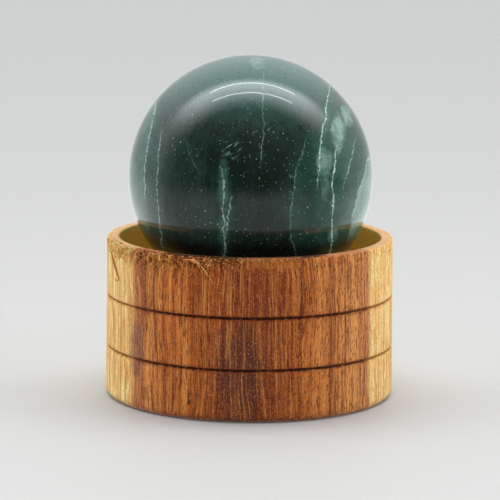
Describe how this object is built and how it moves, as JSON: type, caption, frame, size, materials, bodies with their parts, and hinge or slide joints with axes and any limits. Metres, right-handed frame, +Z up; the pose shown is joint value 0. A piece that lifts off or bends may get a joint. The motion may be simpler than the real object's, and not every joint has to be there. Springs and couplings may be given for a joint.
{
  "type": "decorative sphere on stand",
  "caption": "Polished dark green stone sphere with pale veins, resting in a turned wooden cup stand with grooves cut round its outside.",
  "frame": {"origin": "centre of the stand's underside, on the surface that it stands on", "axes": "+Z up along the turning axis, through the centre of the ball; -Y towards the front, where the heartwood shows"},
  "size_m": [0.0712, 0.0712, 0.0837],
  "materials": {
    "stone": "polished dark green with pale veins",
    "wood": "turned and left bare, orange-brown heartwood and pale sapwood"
  },
  "bodies": {
    "root": {"stone_sphere": "stone", "wooden_stand": "wood"}
  },
  "joints": []
}
